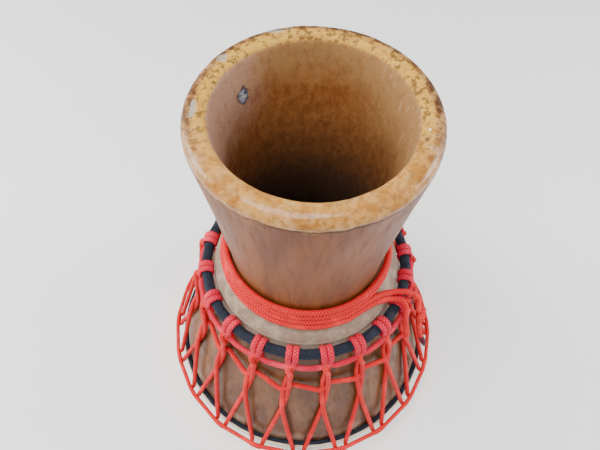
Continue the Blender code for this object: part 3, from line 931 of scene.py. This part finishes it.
def rimColour(tree, wood, look):
    dusty = mottle(tree, wood.coords, 115.0, 5.0, 0.70, (1, 1, 1), (0.8, 0.1, 0.6))
    rim = tint(tree, between(tree, wood.blotch, 0.44, 0.60, 0.0, 0.75), look.rim, look.rimOrange)
    rim = tint(tree, between(tree, wood.patch, 0.56, 0.68, 0.0, 0.55), rim, look.rimGrey)
    rim = tint(tree, between(tree, dusty, 0.48, 0.66, 0.0, 0.30), rim, look.rimGrey)
    rim = tint(tree, between(tree, dusty, 0.50, 0.34, 0.0, 0.55), rim, look.rimOrange)
    outer = times(tree, zone(tree, wood.radius, "rimOuter"), zone(tree, wood.y, "brownBack", 0.08, 0.95))
    rim = tint(tree, times(tree, outer, between(tree, dusty, 0.58, 0.44, 0.30, 1.0)), rim, look.rimBrown)
    worn = calc(tree, "ADD", wood.radius, times(tree, mottle(tree, wood.coords, 60.0, 4.0, 0.6), 7.0))
    worn = times(tree, zone(tree, worn, "rimWorn"), zone(tree, wood.y, "wornBack", 0.20, 0.92))
    worn = times(tree, worn, between(tree, dusty, 0.36, 0.54, 0.35, 1.0))
    rim = tint(tree, worn, rim, look.rimWorn)
    specks = times(tree, between(tree, wood.speck, 0.49, 0.60), zone(tree, wood.y, "speckBack", 0.30, 0.75))
    return tint(tree, specks, rim, look.rimBrown)


def hollowColour(tree, wood, look):
    hollow = tint(tree, between(tree, wood.fuzzy, 0.36, 0.66), look.inner, look.innerPale)
    hollow = tint(tree, 0.45, hollow, look.inner)
    hollow = tint(tree, times(tree, between(tree, wood.blotch, 0.5, 0.7), 0.35), hollow, look.innerPale)
    # painted light: the hollow's wall pales towards the mouth and on the right, and turns lilac-grey on the
    # upper left
    high = calc(tree, "ADD", wood.z, calc(tree, "MULTIPLY_ADD", wood.blotch, 30.0, -15.0))
    hollow = tint(tree, zone(tree, high, "hollowTop", 0.0, 0.70), hollow, look.innerTop)
    right = times(tree, zone(tree, wood.x, "right", 0.0, 0.6), zone(tree, high, "rightTop"))
    hollow = tint(tree, right, hollow, look.innerTop)
    left = times(tree, zone(tree, wood.x, "left", 0.0, 0.80), zone(tree, high, "leftTop"))
    hollow = tint(tree, left, hollow, look.innerLilac)
    drawn = addNode(tree, "Mapping", {
        "Vector": wood.coords, "Rotation": (0.5, 0.35, 0.0), "Scale": (1, 1, 0.07)})
    scratch = between(tree, mottle(tree, drawn.outputs[0], 420.0, 3.0, 0.6), 0.60, 0.66)
    where = times(tree, zone(tree, wood.x, "scratchSide"), zone(tree, wood.z, "scratchTop"))
    hollow = tint(tree, times(tree, times(tree, scratch, where), 0.5), hollow, look.rimGrey)
    hollow = tint(tree, between(tree, wood.fuzzy, 0.48, 0.36, 0.0, 0.30), hollow, look.inner)
    hollow = tint(tree, between(tree, wood.speck, 0.52, 0.64, 0.0, 0.30), hollow, look.innerPale)
    # painted shade: the hollow darkens to the deep colour further down
    return tint(tree, zone(tree, wood.z, "dark", 0.0, 0.94), hollow, look.deep)


def spotsOn(tree, wood, look, colour):
    # the filler in the hollow, then the dust, dents and chips
    filler = spotDistance(tree, wood.coords, *(fillerPatch[key] for key in ("place", "size", "ragged")))
    for key, start, full, strength in fillerPatch["layers"]:
        colour = tint(tree, between(tree, filler, start, full, 0.0, strength), colour, getattr(look, key))
    for place, size, shade, strength in woodSpots:
        off = spotDistance(tree, wood.coords, place, size, spotEdge["ragged"])
        mask = between(tree, off, spotEdge["from"], spotEdge["full"], 0.0, strength)
        colour = tint(tree, mask, colour, shade)
    return colour


def woodRoughness(tree, wood, lipMask, matte):
    rough = level(tree, zone(tree, wood.z, "shine"), between(tree, wood.blotch, 0.35, 0.65, 0.32, 0.46),
                  between(tree, wood.broad, 0.35, 0.65, 0.40, 0.54))
    rough = level(tree, matte, rough, 0.78)
    lipRough = calc(tree, "ADD", between(tree, wood.patch, 0.4, 0.66, 0.15, 0.27),
                    zone(tree, wood.y, "dullBack", 0.0, 0.38))
    rough = level(tree, lipMask, rough, lipRough)
    rough = level(tree, wood.inside, rough, 0.85)
    return calc(tree, "ADD", rough, times(tree, calc(tree, "SUBTRACT", wood.grain, 0.5), 0.35))


def woodRelief(tree, wood, matte):
    relief = bump(tree, calc(tree, "ADD", wood.grain, times(tree, wood.fine, 0.25)), 0.00020, 0.6)
    rugged = times(tree, calc(tree, "ADD", wood.blotch, times(tree, wood.fuzzy, 0.3)),
                   calc(tree, "MAXIMUM", wood.inside, times(tree, matte, 0.3)))
    return bump(tree, rugged, 0.0010, 0.6, relief)


def makeWood(look):
    material, tree, shader, texture = newMaterial("carvedWood")
    wood = woodPlaces(tree, texture.outputs["Object"])
    lip = calc(tree, "ADD", wood.z, calc(tree, "MULTIPLY_ADD", wood.blotch, 9.0, -4.5))
    lipMask = times(tree, zone(tree, lip, "lipEdge"), zone(tree, wood.z, "lipHeight"))
    outside = chippedEdge(tree, wood, look, outsideColour(tree, wood, look), lip)
    colour = tint(tree, lipMask, outside, rimColour(tree, wood, look))
    hollowMask = times(tree, wood.inside, zone(tree, wood.z, "mouth"))
    colour = tint(tree, hollowMask, colour, hollowColour(tree, wood, look))
    matte = times(tree, zone(tree, wood.z, "matteFrom"), zone(tree, wood.z, "matteTo"))
    feedAll(tree, shader, {
        "Base Color": spotsOn(tree, wood, look, colour), "Specular IOR Level": 0.26,
        "Roughness": woodRoughness(tree, wood, lipMask, matte), "Normal": woodRelief(tree, wood, matte)})
    return material


# for both cords: deep is the red in painted shade, lit the red with a painted highlight
ropeLook = {"red": (0.84, 0.012, 0.015), "deep": (0.20, 0.001, 0.004), "lit": (1.0, 0.060, 0.054),
            "burnt": (0.075, 0.010, 0.018)}
hitchLook = {"red": (0.80, 0.010, 0.042), "deep": (0.17, 0.001, 0.010), "lit": (1.0, 0.070, 0.13),
             "burnt": (0.075, 0.010, 0.018)}


def makeRope(name, look):
    material, tree, shader, texture = newMaterial(name)
    coords = texture.outputs["Object"]
    flat = addNode(tree, "UVMap", uv_map="braid").outputs[0]
    apart = addNode(tree, "SeparateXYZ", {0: flat})
    # four strands wind each way
    along = times(tree, apart.outputs[0], 4.0)
    around = times(tree, apart.outputs[1], 4.0)
    one, other = calc(tree, "ADD", around, along), calc(tree, "SUBTRACT", around, along)

    def wave(value, cycles):
        return calc(tree, "COSINE", times(tree, value, cycles * math.tau))

    over = times(tree, times(tree, wave(one, 0.5), wave(other, 0.5)), 3.0)
    over = calc(tree, "MULTIPLY_ADD", over, 0.5, 0.5, clamp=True)
    strand = level(tree, over, wave(other, 1.0), wave(one, 1.0))
    strand = calc(tree, "MULTIPLY_ADD", strand, 0.5, 0.5)
    yarn = level(tree, over, wave(other, 4.0), wave(one, 4.0))
    yarn = calc(tree, "MULTIPLY_ADD", yarn, 0.5, 0.5)
    fuzz = mottle(tree, coords, 1500.0, 3.0, 0.65)
    worn = mottle(tree, coords, 55.0, 3.0, 0.5)
    burnt = addNode(tree, "Attribute", attribute_name="burnt").outputs["Fac"]

    # painted shade: the braid's grooves, between the strands and between the yarns, take the deep red;
    # painted highlight: random patches and the fuzz take the lit red
    colour = tint(tree, between(tree, strand, 0.0, 0.70), look["deep"], look["red"])
    colour = tint(tree, times(tree, calc(tree, "SUBTRACT", 1.0, yarn), 0.22), colour, look["deep"])
    colour = tint(tree, between(tree, worn, 0.50, 0.72, 0.0, 0.45), colour, look["lit"])
    colour = tint(tree, times(tree, fuzz, 0.18), colour, look["lit"])
    colour = tint(tree, burnt, colour, look["burnt"])
    calm = calc(tree, "SUBTRACT", 1.0, burnt)
    height = calc(tree, "ADD", strand, times(tree, yarn, 0.22))
    height = calc(tree, "ADD", height, times(tree, fuzz, 0.25))
    feedAll(tree, shader, {
        "Base Color": colour, "Roughness": level(tree, burnt, 0.62, 0.22), "Specular IOR Level": 0.18,
        "Normal": bump(tree, times(tree, height, calm), 0.00032, 0.8)})
    return material


clothLook = {"gap": (0.003, 0.005, 0.011), "thread": (0.014, 0.020, 0.036), "worn": (0.040, 0.050, 0.070)}
hideLook = {"deep": (0.60, 0.51, 0.34), "pale": (0.80, 0.74, 0.56), "fibre": (0.42, 0.31, 0.17)}


def makeCloth(look):
    material, tree, shader, texture = newMaterial("navyCloth")
    coords = texture.outputs["Object"]
    thread = mottle(tree, coords, 1400.0, 2.0, 0.6, (1, 1, 0.35))
    cross = mottle(tree, coords, 1400.0, 2.0, 0.6, (0.35, 0.35, 1), (0.4, 0.2, 0.6))
    worn = mottle(tree, coords, 70.0, 4.0, 0.6)
    weave = calc(tree, "ADD", thread, cross)
    colour = tint(tree, between(tree, weave, 0.8, 1.2), look["gap"], look["thread"])
    colour = tint(tree, between(tree, worn, 0.50, 0.72, 0.0, 0.35), colour, look["worn"])
    feedAll(tree, shader, {"Base Color": colour, "Roughness": 0.85, "Specular IOR Level": 0.3,
                           "Normal": bump(tree, weave, 0.00030, 0.8)})
    return material


def makeHide(look):
    material, tree, shader, texture = newMaterial("goatskin")
    coords = texture.outputs["Object"]
    patch = mottle(tree, coords, 42.0, 4.0, 0.55)
    fibre = mottle(tree, coords, 600.0, 4.0, 0.65)
    colour = tint(tree, between(tree, patch, 0.36, 0.66), look["deep"], look["pale"])
    colour = tint(tree, between(tree, fibre, 0.55, 0.75, 0.0, 0.5), colour, look["fibre"])
    height = calc(tree, "ADD", patch, times(tree, fibre, 0.4))
    feedAll(tree, shader, {
        "Base Color": colour, "Roughness": between(tree, patch, 0.3, 0.7, 0.50, 0.68),
        "Subsurface Weight": 0.08, "Subsurface Scale": 0.002, "Normal": bump(tree, height, 0.0005, 0.7)})
    return material


woodMaterial, clothMaterial, hideMaterial = makeWood(woodLook), makeCloth(clothLook), makeHide(hideLook)
ropeMaterial, hitchMaterial = makeRope("redBraid", ropeLook), makeRope("redBraidHitches", hitchLook)

dress(shellPiece, woodMaterial, "carved_wood", "shell")
dress(skinPiece, hideMaterial, "goatskin", "skin_head")
for ring, shape in zip((headRing, neckRing), ringShapes):
    dress(ring, clothMaterial, "black_cloth", shape["node"])
dress(hitchPiece, hitchMaterial, "red_cord", "neck_ring_cord")
dress(crownPiece, ropeMaterial, "red_cord", "crown_cord")
dress(lacingPiece, ropeMaterial, "red_cord", "lacing_cord")
dress(weavePiece, ropeMaterial, "red_cord")
dress(neckPiece, ropeMaterial, "red_cord", "neck_cord")
for stub in stubPieces:
    dress(stub, ropeMaterial, "red_cord")
print("finishes on")
